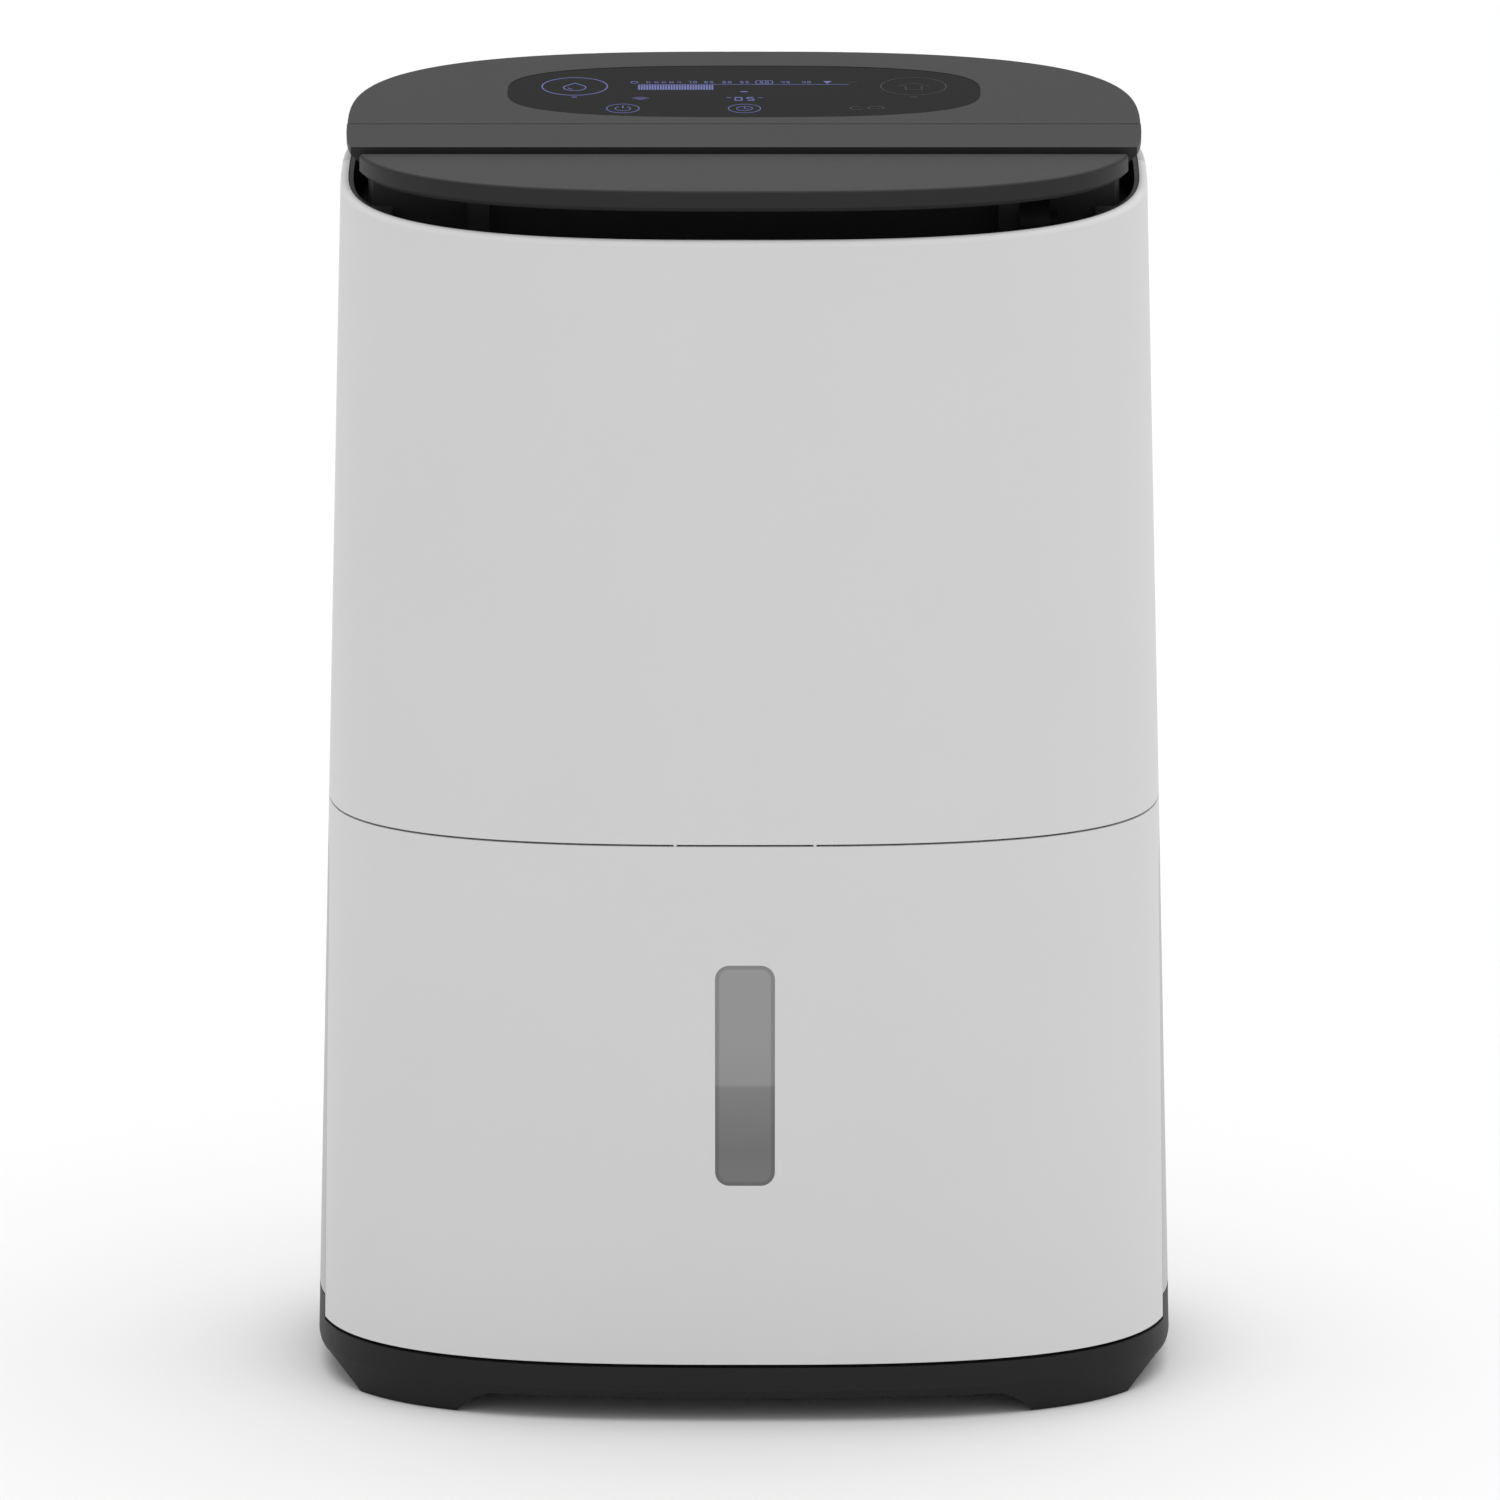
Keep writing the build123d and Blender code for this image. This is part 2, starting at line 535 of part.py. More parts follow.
# ---------------------------------------------------------------- drip tray and drain
with BuildPart() as drip_tray:
    box(-112, 112, 24, 82, SHELF_Z1, 231)
    box(-110, 110, 26, 80, SHELF_Z1 + 2, 240, mode=Mode.SUBTRACT)
    box(103, 121, -49, 26, SHELF_Z1, 227)
    box(105, 119, -47, 27, SHELF_Z1 + 2, 240, mode=Mode.SUBTRACT)
    box(105, 110, 22, 28, SHELF_Z1 + 2, 240, mode=Mode.SUBTRACT)
    for x in (-94.0, 94.0):
        box(x - 2.5, x + 2.5, 30, 76, SHELF_Z1 + 1, 232)
        box(x - 2.5, x + 2.5, 30, 76, 232, 236)
    rod_z(SPOUT_X, SPOUT_Y, 209.5, SHELF_Z1 + 1, 6)
    rod_z(SPOUT_X, SPOUT_Y, 209, SHELF_Z1 + 4, 4.5, mode=Mode.SUBTRACT)
    rod_z(SPIGOT_X, 76, SHELF_Z1 - 1, SHELF_Z1 + 4, 2.8, mode=Mode.SUBTRACT)
    add(coil_plates.part, mode=Mode.SUBTRACT)
save(drip_tray, "drip_tray")

with BuildPart() as drain_spigot:
    rod_y(SPIGOT_X, 70, 87, SPIGOT_Z, 6)
    rod_y(SPIGOT_X, 86, 104, SPIGOT_Z, SPIGOT_R)
    rod_z(SPIGOT_X, 76, SPIGOT_Z, SHELF_Z1, 5)
    rod_y(SPIGOT_X, 72, 110, SPIGOT_Z, 4.3, mode=Mode.SUBTRACT)
    rod_z(SPIGOT_X, 76, SPIGOT_Z, SHELF_Z1 + 1, 2.8, mode=Mode.SUBTRACT)
save(drain_spigot, "drain_spigot")

# ---------------------------------------------------------------- fan
def volute(gap, a0=52.0, a1=360.0, r0=79.0, r1=97.0):
    pts = []
    n = 24
    for i in range(n + 1):
        t = a0 + (a1 - a0) * i / n
        r = r0 + (r1 - r0) * (t - a0) / (a1 - a0) + gap
        pts.append((r * math.cos(math.radians(t)), FAN_Z + r * math.sin(math.radians(t))))
    return pts


def volute_solid(gap, y0, y1, top):
    pts = volute(gap)
    with BuildPart() as p:
        with BuildSketch(Plane(origin=(0, y1, 0), x_dir=(1, 0, 0), z_dir=(0, -1, 0))):
            with BuildLine():
                Spline(pts)
                Line(pts[-1], (pts[-1][0], top))
                Line((pts[-1][0], top), (pts[0][0], top))
                Line((pts[0][0], top), pts[0])
            make_face()
        extrude(amount=y1 - y0)
    return p.part


SCROLL_TOP = 404.0
with BuildPart() as fan_scroll:
    add(volute_solid(2.2, FAN_Y0, FAN_Y1 - 2.2, SCROLL_TOP))
    for x in (-34.0, 34.0):
        box(x - 2, x + 2, FAN_Y0, FAN_Y1 - 2.2, SHELF_Z1, FAN_Z - 84)
    box(-44, 44, FAN_Y0, FAN_Y1 - 2.2, SHELF_Z1, SHELF_Z1 + 2.5)
    add(volute_solid(0, FAN_Y0 + 2.2, 0, SCROLL_TOP + 5), mode=Mode.SUBTRACT)
    rod_y(0, -70, -50, FAN_Z, 10, mode=Mode.SUBTRACT)
    for t in (90, 210, 330):
        rod_y(36 * math.cos(math.radians(t)), -70, -50, FAN_Z + 36 * math.sin(math.radians(t)), 1.6, mode=Mode.SUBTRACT)
save(fan_scroll, "fan_scroll")

with BuildPart() as scroll_cover:
    add(volute_solid(2.2, FAN_Y1 - 2.2, FAN_Y1, SCROLL_TOP))
    rod_y(0, FAN_Y1 - 2.2, FAN_Y1 + 5, FAN_Z, 61)
    rod_y(0, -20, 20, FAN_Z, 57, mode=Mode.SUBTRACT)
save(scroll_cover, "scroll_cover")

with BuildPart() as blade:
    with Locations(Location((65.5, -32.3, FAN_Z), (0, 28, 0))):
        Box(12, 39.4, 1.2)
with BuildPart() as fan_impeller:
    rod_y(0, -54, -51.6, FAN_Z, 72)
    rod_y(0, -13, -10, FAN_Z, 72)
    rod_y(0, -14, 0, FAN_Z, 62, mode=Mode.SUBTRACT)
    rod_y(0, -52, -36, FAN_Z, 11)
    for k in range(32):
        add(blade.part.rotate(Axis((0, 0, FAN_Z), (0, 1, 0)), 360.0 * k / 32))
    rod_y(0, -60, -30, FAN_Z, 4, mode=Mode.SUBTRACT)
save(fan_impeller, "fan_impeller")

with BuildPart() as fan_shaft:
    rod_y(0, -78, -34, FAN_Z, 4)
    rod_y(0, -36, -33, FAN_Z, 6)
save(fan_shaft, "fan_shaft")

with BuildPart() as fan_motor:
    rod_y(0, -90, -62, FAN_Z, 30)
    fillet(fan_motor.edges().filter_by(GeomType.CIRCLE).group_by(Axis.Y)[0], 4)
    for t in (90, 210, 330):
        rod_y(36 * math.cos(math.radians(t)), -65, -62, FAN_Z + 36 * math.sin(math.radians(t)), 5)
    for t in (90, 210, 330):
        with Locations(Location((0, 0, FAN_Z), (0, -t, 0))):
            with Locations((32, -63.5, 0)):
                Box(8, 3, 10)
    rod_y(0, -80, -50, FAN_Z, 4.05, mode=Mode.SUBTRACT)
    for t in (90, 210, 330):
        rod_y(36 * math.cos(math.radians(t)), -70, -50, FAN_Z + 36 * math.sin(math.radians(t)), 1.6, mode=Mode.SUBTRACT)
save(fan_motor, "fan_motor")

with BuildPart() as motor_screws:
    for t in (90, 210, 330):
        x, z = 36 * math.cos(math.radians(t)), FAN_Z + 36 * math.sin(math.radians(t))
        rod_y(x, -67, -65, z, 3.2)
        rod_y(x, -65, -59.8, z, 1.6)
save(motor_screws, "motor_screws")

# ---------------------------------------------------------------- electronics
with BuildPart() as control_box:
    box(-134, -100, -44, 16, SHELF_Z1, 356)
    box(-140, -102, -42, 14, SHELF_Z1 + 2, 354, mode=Mode.SUBTRACT)
    for y in (-34.0, 6.0):
        for z in (236.0, 340.0):
            rod_x(-105, -101, y, z, 3)
save(control_box, "control_box")
with BuildPart() as control_box_lid:
    box(-136, -134, -44, 16, SHELF_Z1, 356)
save(control_box_lid, "control_box_lid")
with BuildPart() as main_board:
    box(-106.6, -105, -38, 10, 228, 348)
    box(-112, -106.6, -30, -16, 300, 316)
    box(-110, -106.6, -8, 4, 304, 320)
    box(-114, -106.6, -32, -20, 330, 344)
    box(-109, -106.6, -10, 6, 334, 340)
save(main_board, "main_board")
with BuildPart() as run_capacitor:
    rod_z(-119, -14, 232, 284, 12.4)
save(run_capacitor, "run_capacitor")
with BuildPart() as humidity_sensor:
    box(-132, -120, 44, 45.6, SHELF_Z1, 262)
    box(-130, -122, 45.6, 49, 248, 258)
save(humidity_sensor, "humidity_sensor")

# ---------------------------------------------------------------- outlet and top
TOP_FLOOR, DECK_W = -22.0, -19.4
with BuildPart() as tray:
    add(body_core(400, 480, WALL + 0.1))
    split(bisect_by=RIM.offset(-0.5), keep=Keep.BOTTOM)
    split(bisect_by=RIM.offset(TOP_FLOOR), keep=Keep.TOP)
with BuildPart() as tray_in:
    add(body_core(400, 490, WALL + 1.9))
    split(bisect_by=RIM.offset(DECK_W), keep=Keep.TOP)
with BuildPart() as ledges:
    with BuildSketch(RIM.offset(-10)):
        with Locations((-138, -45), (138, -45)):
            Rectangle(16, 18)
    extrude(amount=5)
    add(body_core(400, 480, WALL + 0.6), mode=Mode.INTERSECT)
with BuildPart() as outlet_deck:
    add(tray.part)
    add(tray_in.part, mode=Mode.SUBTRACT)
    add(band(DECK_W - 1, LID_BOT, 8.0, v0=-35.0))
    add(band(DECK_W, LID_BOT - 3, 10.5, v0=-32.5), mode=Mode.SUBTRACT)
    for s in (-1, 1):
        # guides of the handle posts
        with BuildSketch(RIM.offset(-66)):
            with Locations((s * HANDLE_POST_X, HANDLE_POST_V)):
                Circle(8)
        extrude(amount=66 + LID_BOT - 1)
        with BuildSketch(RIM.offset(-70)):
            with Locations((s * HANDLE_POST_X, HANDLE_POST_V)):
                Circle(HANDLE_POST_R + 0.06)
        extrude(amount=90, mode=Mode.SUBTRACT)
        # louvre brackets
        with BuildSketch(RIM.offset(DECK_W - 1)):
            with Locations((s * 98, LOUVRE_AXIS[0])):
                Rectangle(8, 7)
        extrude(amount=LOUVRE_AXIS[1] - DECK_W + 1)
        _, py, pz = row(*LOUVRE_AXIS)
        rod_x(s * 98 - 4, s * 98 + 4, py, pz, 3.5)
        rod_x(s * 98 - 6, s * 98 + 6, py, pz, 1.56, mode=Mode.SUBTRACT)
    add(ledges.part)
    # opening over the duct, with fixed ribs
    with BuildSketch(RIM.offset(TOP_FLOOR - 1)):
        with Locations((19, -70)):
            Rectangle(150, 32)
        for u in (-11.0, 19.0, 49.0, 79.0):
            with Locations((u, -70)):
                Rectangle(1.6, 40, mode=Mode.SUBTRACT)
    extrude(amount=6, mode=Mode.SUBTRACT)
save(outlet_deck, "outlet_deck")

DUCT_TOP = RIM.offset(TOP_FLOOR)
with BuildPart() as duct_out:
    with BuildSketch(Plane.XY.offset(SCROLL_TOP)):
        with Locations(((48.6 + 99.2) / 2, -33.1)):
            Rectangle(99.2 - 48.6, 57.8)
    with BuildSketch(DUCT_TOP):
        with Locations((19, -70)):
            Rectangle(154, 36)
    loft()
with BuildPart() as duct_in:
    with BuildSketch(Plane.XY.offset(SCROLL_TOP)):
        with Locations(((48.6 + 99.2) / 2, -33.1)):
            Rectangle(99.2 - 48.6 - 4, 57.8 - 4)
    with BuildSketch(DUCT_TOP):
        with Locations((19, -70)):
            Rectangle(150, 32)
    loft()
with BuildPart() as outlet_duct:
    add(duct_out.part)
    add(duct_in.part, mode=Mode.SUBTRACT)
save(outlet_duct, "outlet_duct")

with BuildPart() as lens_pocket:
    with BuildSketch(RIM.offset(LID_TOP - 2.2)):
        with BuildLine():
            Spline([(x * 88.9 / LID_A, 41.8 + y * 36.05 / LID_B) for x, y in oval(LID_A, LID_B)], periodic=True)
        make_face()
    extrude(amount=4)
    with BuildSketch(RIM.offset(LID_TOP - 6)):
        with BuildLine():
            Spline([(x * 84.9 / LID_A, 41.8 + y * 32.05 / LID_B) for x, y in oval(LID_A, LID_B)], periodic=True)
        make_face()
    extrude(amount=5)
with BuildPart() as control_cover:
    add(band(LID_BOT, LID_TOP, 0, v0=COVER_V))
    chamfer(control_cover.edges().filter_by(lambda e: abs(RIM.to_local_coords(e.center()).Z - LID_BOT) < 0.05).sort_by(lambda e: e.length)[-1], 4.5)
    fillet(control_cover.edges().filter_by(lambda e: abs(RIM.to_local_coords(e.center()).Z - LID_TOP) < 0.05).sort_by(lambda e: e.length)[-1], 1.2)
    add(band(LID_BOT - 1, LID_TOP - 3.2, 12.0, v0=COVER_V + 3), mode=Mode.SUBTRACT)
    add(lens_pocket.part, mode=Mode.SUBTRACT)
save(control_cover, "control_cover")

with BuildPart() as display_lens:
    with BuildSketch(RIM.offset(LID_TOP - 2.2)):
        with BuildLine():
            Spline([(x * 88.9 / LID_A, 41.8 + y * 36.05 / LID_B) for x, y in oval(LID_A, LID_B)], periodic=True)
        make_face()
    extrude(amount=2.1)
save(display_lens, "display_lens")

with BuildPart() as display_board:
    with BuildSketch(RIM.offset(LID_BOT)):
        with Locations((0, 41.8)):
            RectangleRounded(150, 52, 4)
    extrude(amount=1.6)
    with BuildSketch(RIM.offset(LID_BOT + 1.6)):
        with Locations(*[(u, v) for u, v in ((-63.7, 48.8), (63.6, 48.8), (-44.9, 18.1), (0.2, 18.1), (44.9, 18.8), (-25, 47), (25, 51))]):
            Rectangle(12, 8)
    extrude(amount=2.0)
save(display_board, "display_board")

with BuildPart() as carry_handle:
    add(band(LID_BOT + 0.4, LID_TOP, 0, v0=HANDLE_V1, v1=HANDLE_V0))
    chamfer(carry_handle.edges().filter_by(lambda e: abs(RIM.to_local_coords(e.center()).Z - LID_BOT - 0.4) < 0.05).filter_by(lambda e: abs(e.center().X) > 140), 4.0)
    add(band(LID_BOT - 1, LID_TOP - 2.6, 9.0, v0=HANDLE_V1 + 2.6, v1=HANDLE_V0 - 2.6), mode=Mode.SUBTRACT)
    for s in (-1, 1):
        with BuildSketch(RIM.offset(-62)):
            with Locations((s * HANDLE_POST_X, HANDLE_POST_V)):
                Circle(HANDLE_POST_R)
        extrude(amount=62 + LID_TOP - 2)
save(carry_handle, "carry_handle")

# louvre: its own plane, raised a little at the front from the plane of the lid
LOUVRE_A, LOUVRE_T = 145.4, 7.9
LOUVRE_SLOPE = TILT - 2.78
LV = Plane(origin=row(LOUVRE_V, LID_TOP - 1.6), x_dir=(1, 0, 0), z_dir=(0, -math.sin(math.radians(LOUVRE_SLOPE)), math.cos(math.radians(LOUVRE_SLOPE))))
with BuildPart() as outlet_louvre:
    add(band(-LOUVRE_T, 0, 0, v1=LOUVRE_V, plane=LV, dv=-LOUVRE_V, a=LOUVRE_A))
    lv = lambda e: LV.to_local_coords(e.center())
    chamfer(outlet_louvre.edges().filter_by(lambda e: abs(lv(e).Z + LOUVRE_T) < 0.05).sort_by(lambda e: e.length)[-1], 1.6)
    fillet(outlet_louvre.edges().filter_by(lambda e: abs(lv(e).Z) < 0.05).sort_by(lambda e: e.length)[-1], 1.2)
    fillet(outlet_louvre.edges().filter_by(lambda e: abs(lv(e).Z) < 0.05 and abs(lv(e).Y) < 0.05), 2.0)
    add(band(-LOUVRE_T - 2, -2.4, 5.0, v1=LOUVRE_V - 2.2, plane=LV, dv=-LOUVRE_V, a=LOUVRE_A), mode=Mode.SUBTRACT)
    _, py, pz = row(*LOUVRE_AXIS)
    for s in (-1, 1):
        box(s * 98 - 6, s * 98 + 6, py, py + 14, pz - 8, pz + 3.6, mode=Mode.SUBTRACT)
        for u in (s * 89, s * 107):
            rod_x(u - 2, u + 2, py, pz, 3.2)
            box(u - 2, u + 2, py - 3.2, py + 3.2, pz, pz + 5.4)
        rod_x(s * 98 - 10, s * 98 + 10, py, pz, 1.5)
save(outlet_louvre, "outlet_louvre")

with BuildPart() as louvre_motor:
    _, py, pz = row(LOUVRE_AXIS[0], -8.6)
    rod_x(102, 113, py, pz, 9)
    rod_x(113, 116, py, pz, 4)
save(louvre_motor, "louvre_motor")
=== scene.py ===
import json
import math
import bmesh
import bpy
from mathutils import Matrix, Vector


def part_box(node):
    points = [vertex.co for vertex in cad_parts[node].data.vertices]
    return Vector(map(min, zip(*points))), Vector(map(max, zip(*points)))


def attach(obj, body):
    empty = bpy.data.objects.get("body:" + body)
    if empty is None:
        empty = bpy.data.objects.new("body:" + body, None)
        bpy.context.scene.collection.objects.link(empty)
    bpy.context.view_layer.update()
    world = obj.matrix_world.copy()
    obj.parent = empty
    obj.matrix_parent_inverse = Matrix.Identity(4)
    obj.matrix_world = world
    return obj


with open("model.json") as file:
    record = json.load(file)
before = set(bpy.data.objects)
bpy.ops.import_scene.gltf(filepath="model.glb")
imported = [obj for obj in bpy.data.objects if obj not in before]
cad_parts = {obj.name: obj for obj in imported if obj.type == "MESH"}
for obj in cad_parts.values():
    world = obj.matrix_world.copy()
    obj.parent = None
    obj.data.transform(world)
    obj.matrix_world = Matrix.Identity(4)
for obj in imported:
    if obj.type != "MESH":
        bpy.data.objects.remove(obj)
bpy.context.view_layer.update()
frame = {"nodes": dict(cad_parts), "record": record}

# ------------------------------------------------------------------ sizes of the sloping top (m)
TILT = math.radians(5.8)
SIN, COS = math.sin(TILT), math.cos(TILT)
RIM_Z = 0.4558
LID_A, LID_B = 0.1478, 0.0990
LID_TOP = 0.01725


def top(u, v, w):
    """Frame point of (u, v, w) in the sloping plane of the rim."""
    return Vector((u, v * COS - w * SIN, RIM_Z + v * SIN + w * COS))


TOP_MATRIX = Matrix(((1, 0, 0, 0), (0, COS, -SIN, 0), (0, SIN, COS, RIM_Z), (0, 0, 0, 1)))


# ------------------------------------------------------------------ materials
def material(name, colour, rough, spread=0.04, grain=900.0, bump=0.05, metallic=0.0, specular=0.5, coat=0.0, rough_spread=0.05,
             emission=None, strength=0.0, transmission=0.0, alpha=1.0):
    m = bpy.data.materials.new(name)
    m.use_nodes = True
    nt = m.node_tree
    n, l = nt.nodes, nt.links
    for node in list(n):
        n.remove(node)
    out = n.new("ShaderNodeOutputMaterial")
    p = n.new("ShaderNodeBsdfPrincipled")
    l.new(p.outputs[0], out.inputs[0])
    at = n.new("ShaderNodeTexCoord")
    broad = n.new("ShaderNodeTexNoise")
    broad.inputs["Scale"].default_value = 14.0
    broad.inputs["Detail"].default_value = 4.0
    l.new(at.outputs["Object"], broad.inputs["Vector"])
    ramp = n.new("ShaderNodeValToRGB")
    ramp.color_ramp.elements[0].position = 0.3
    ramp.color_ramp.elements[1].position = 0.7
    lo = [max(0.0, c * (1 - spread)) for c in colour]
    hi = [min(1.0, c * (1 + spread)) for c in colour]
    ramp.color_ramp.elements[0].color = (*lo, 1)
    ramp.color_ramp.elements[1].color = (*hi, 1)
    l.new(broad.outputs["Fac"], ramp.inputs["Fac"])
    l.new(ramp.outputs["Color"], p.inputs["Base Color"])
    fine = n.new("ShaderNodeTexNoise")
    fine.inputs["Scale"].default_value = grain
    fine.inputs["Detail"].default_value = 3.0
    l.new(at.outputs["Object"], fine.inputs["Vector"])
    span = n.new("ShaderNodeMapRange")
    span.inputs["To Min"].default_value = max(0.02, rough - rough_spread)
    span.inputs["To Max"].default_value = min(1.0, rough + rough_spread)
    l.new(fine.outputs["Fac"], span.inputs["Value"])
    l.new(span.outputs["Result"], p.inputs["Roughness"])
    if bump:
        b = n.new("ShaderNodeBump")
        b.inputs["Strength"].default_value = bump
        b.inputs["Distance"].default_value = 0.0002
        l.new(fine.outputs["Fac"], b.inputs["Height"])
        l.new(b.outputs["Normal"], p.inputs["Normal"])
    p.inputs["Metallic"].default_value = metallic
    p.inputs["Specular IOR Level"].default_value = specular
    p.inputs["Coat Weight"].default_value = coat
    p.inputs["Transmission Weight"].default_value = transmission
    if alpha < 1:
        p.inputs["Alpha"].default_value = alpha
    if emission:
        p.inputs["Emission Color"].default_value = (*emission, 1)
        p.inputs["Emission Strength"].default_value = strength
    return m


MATS = {
    "body_white": material("body_white", (0.630, 0.630, 0.630), 0.48, spread=0.006, bump=0.03, specular=0.25),
    "panel_white": material("panel_white", (0.630, 0.630, 0.630), 0.48, spread=0.006, bump=0.03, specular=0.25),
    "rear_white": material("rear_white", (0.475, 0.475, 0.475), 0.48, spread=0.006, bump=0.03, specular=0.25),
    "grille_white": material("grille_white", (0.59, 0.59, 0.59), 0.5, spread=0.01, bump=0.03, specular=0.25),
    "dark_top": material("dark_top", (0.0195, 0.0195, 0.0200), 0.5, spread=0.03, bump=0.08, specular=0.165),
    "dark_base": material("dark_base", (0.0140, 0.0140, 0.0144), 0.5, spread=0.05, bump=0.08, specular=0.16),
    "duct_black": material("duct_black", (0.036, 0.036, 0.036), 0.55, spread=0.08, bump=0.08, specular=0.2),
    "lens_black": material("lens_black", (0.0045, 0.0045, 0.0050), 0.16, spread=0.03, bump=0.0, specular=0.008, rough_spread=0.02),
    "tank_clear": material("tank_clear", (0.36, 0.39, 0.42), 0.25, spread=0.03, bump=0.02, specular=0.4, alpha=0.55),
    "pad_rubber": material("pad_rubber", (0.02, 0.02, 0.02), 0.8, spread=0.1, bump=0.15, specular=0.2),
    "chassis_grey": material("chassis_grey", (0.16, 0.165, 0.17), 0.55, spread=0.04, bump=0.06, specular=0.3),
    "tray_white": material("tray_white", (0.45, 0.47, 0.48), 0.45, spread=0.03, bump=0.04, specular=0.3),
    "filter_grey": material("filter_grey", (0.10, 0.10, 0.105), 0.55, spread=0.04, bump=0.06, specular=0.3),
    "fin_aluminium": material("fin_aluminium", (0.72, 0.73, 0.74), 0.32, spread=0.05, metallic=1.0, bump=0.04),
    "tube_copper": material("tube_copper", (0.74, 0.36, 0.22), 0.28, spread=0.12, metallic=1.0, bump=0.05),
    "compressor_black": material("compressor_black", (0.018, 0.018, 0.02), 0.35, spread=0.08, bump=0.08, specular=0.5),
    "steel": material("steel", (0.55, 0.55, 0.56), 0.3, spread=0.06, metallic=1.0, bump=0.05),
    "plate_steel": material("plate_steel", (0.62, 0.62, 0.62), 0.42, spread=0.1, metallic=1.0, bump=0.05),
    "board_green": material("board_green", (0.03, 0.16, 0.07), 0.35, spread=0.15, bump=0.06, specular=0.5),
    "capacitor_aluminium": material("capacitor_aluminium", (0.66, 0.67, 0.68), 0.3, spread=0.04, metallic=1.0, bump=0.04),
    "motor_metal": material("motor_metal", (0.10, 0.10, 0.11), 0.42, spread=0.06, metallic=0.6, bump=0.05),
    "float_orange": material("float_orange", (0.75, 0.25, 0.05), 0.75, spread=0.08, bump=0.2, specular=0.2),
    "magnet_dark": material("magnet_dark", (0.09, 0.09, 0.09), 0.5, spread=0.1, metallic=0.7, bump=0.08),
}


def mesh_cloth():
    m = material("mesh_grey", (0.07, 0.07, 0.075), 0.7, spread=0.1, bump=0.0, specular=0.2)
    n, l = m.node_tree.nodes, m.node_tree.links
    p = n["Principled BSDF"]
    at = n["Texture Coordinate"]
    weave = []
    for axis in ("X", "Z"):
        w = n.new("ShaderNodeTexWave")
        w.bands_direction = axis
        w.inputs["Scale"].default_value = 260.0
        l.new(at.outputs["Object"], w.inputs["Vector"])
        weave.append(w)
    most = n.new("ShaderNodeMath")
    most.operation = "MAXIMUM"
    l.new(weave[0].outputs["Fac"], most.inputs[0])
    l.new(weave[1].outputs["Fac"], most.inputs[1])
    b = n.new("ShaderNodeBump")
    b.inputs["Strength"].default_value = 0.7
    b.inputs["Distance"].default_value = 0.0005
    l.new(most.outputs[0], b.inputs["Height"])
    l.new(b.outputs["Normal"], p.inputs["Normal"])
    return m


def window_glass():
    """Smoked window, darker below the water line, with painted shade along its edge."""
    m = material("window_grey", (0.28, 0.28, 0.285), 0.22, spread=0.02, bump=0.0, specular=0.3)
    n, l = m.node_tree.nodes, m.node_tree.links
    p = n["Principled BSDF"]
    at = n["Texture Coordinate"]
    split = n.new("ShaderNodeSeparateXYZ")
    l.new(at.outputs["Object"], split.inputs[0])
    span = n.new("ShaderNodeMapRange")
    span.inputs["From Min"].default_value = 0.0909
    span.inputs["From Max"].default_value = 0.1747
    l.new(split.outputs["Z"], span.inputs["Value"])
    ramp = n.new("ShaderNodeValToRGB")
    r = ramp.color_ramp
    r.elements[0].position = 0.0
    r.elements[0].color = (0.163, 0.163, 0.166, 1)
    r.elements[1].position = 1.0
    r.elements[1].color = (0.285, 0.285, 0.288, 1)
    for pos, c in ((0.16, 0.151), (0.40, 0.190), (0.445, 0.200), (0.462, 0.264), (0.62, 0.280)):
        e = r.elements.new(pos)
        e.color = (c, c, c * 1.01, 1)
    l.new(span.outputs["Result"], ramp.inputs["Fac"])

    def math_node(op, a, b=None):
        k = n.new("ShaderNodeMath")
        k.operation = op
        for i, v in enumerate((a, b)):
            if v is None:
                continue
            if isinstance(v, float):
                k.inputs[i].default_value = v
            else:
                l.new(v, k.inputs[i])
        return k.outputs[0]

    # distance in from the rounded outline, for a band of painted shade along the edge where the inner lip is
    dx = math_node("SUBTRACT", math_node("ABSOLUTE", math_node("SUBTRACT", split.outputs["X"], 0.0004)), 0.0058)
    dz = math_node("SUBTRACT", math_node("ABSOLUTE", math_node("SUBTRACT", split.outputs["Z"], 0.1328)), 0.0366)
    mx = math_node("MAXIMUM", dx, 0.0)
    mz = math_node("MAXIMUM", dz, 0.0)
    out = math_node("SQRT", math_node("ADD", math_node("MULTIPLY", mx, mx), math_node("MULTIPLY", mz, mz)))
    d = math_node("ADD", out, math_node("MINIMUM", math_node("MAXIMUM", dx, dz), 0.0))
    painted_edge_shade = n.new("ShaderNodeMapRange")
    painted_edge_shade.interpolation_type = "SMOOTHSTEP"
    painted_edge_shade.inputs["From Min"].default_value = 0.0053 - 0.0020
    painted_edge_shade.inputs["From Max"].default_value = 0.0053 - 0.0009
    l.new(d, painted_edge_shade.inputs["Value"])
    # painted shade: the window colour is multiplied by 0.76 in the band along its edge
    mix = n.new("ShaderNodeMix")
    mix.data_type = "RGBA"
    mix.blend_type = "MULTIPLY"
    l.new(painted_edge_shade.outputs["Result"], mix.inputs[0])
    l.new(ramp.outputs["Color"], mix.inputs[6])
    mix.inputs[7].default_value = (0.76, 0.76, 0.765, 1)
    l.new(mix.outputs[2], p.inputs["Base Color"])
    return m


MATS["mesh_grey"] = mesh_cloth()
MATS["window_grey"] = window_glass()

MATS["display_glow"] = material("display_glow", (0.02, 0.022, 0.04), 0.5, spread=0.1, bump=0.0, specular=0.05, emission=(0.125, 0.138, 0.33), strength=1.0)
MATS["display_dim"] = material("display_dim", (0.032, 0.032, 0.036), 0.5, spread=0.1, bump=0.0, specular=0.1)

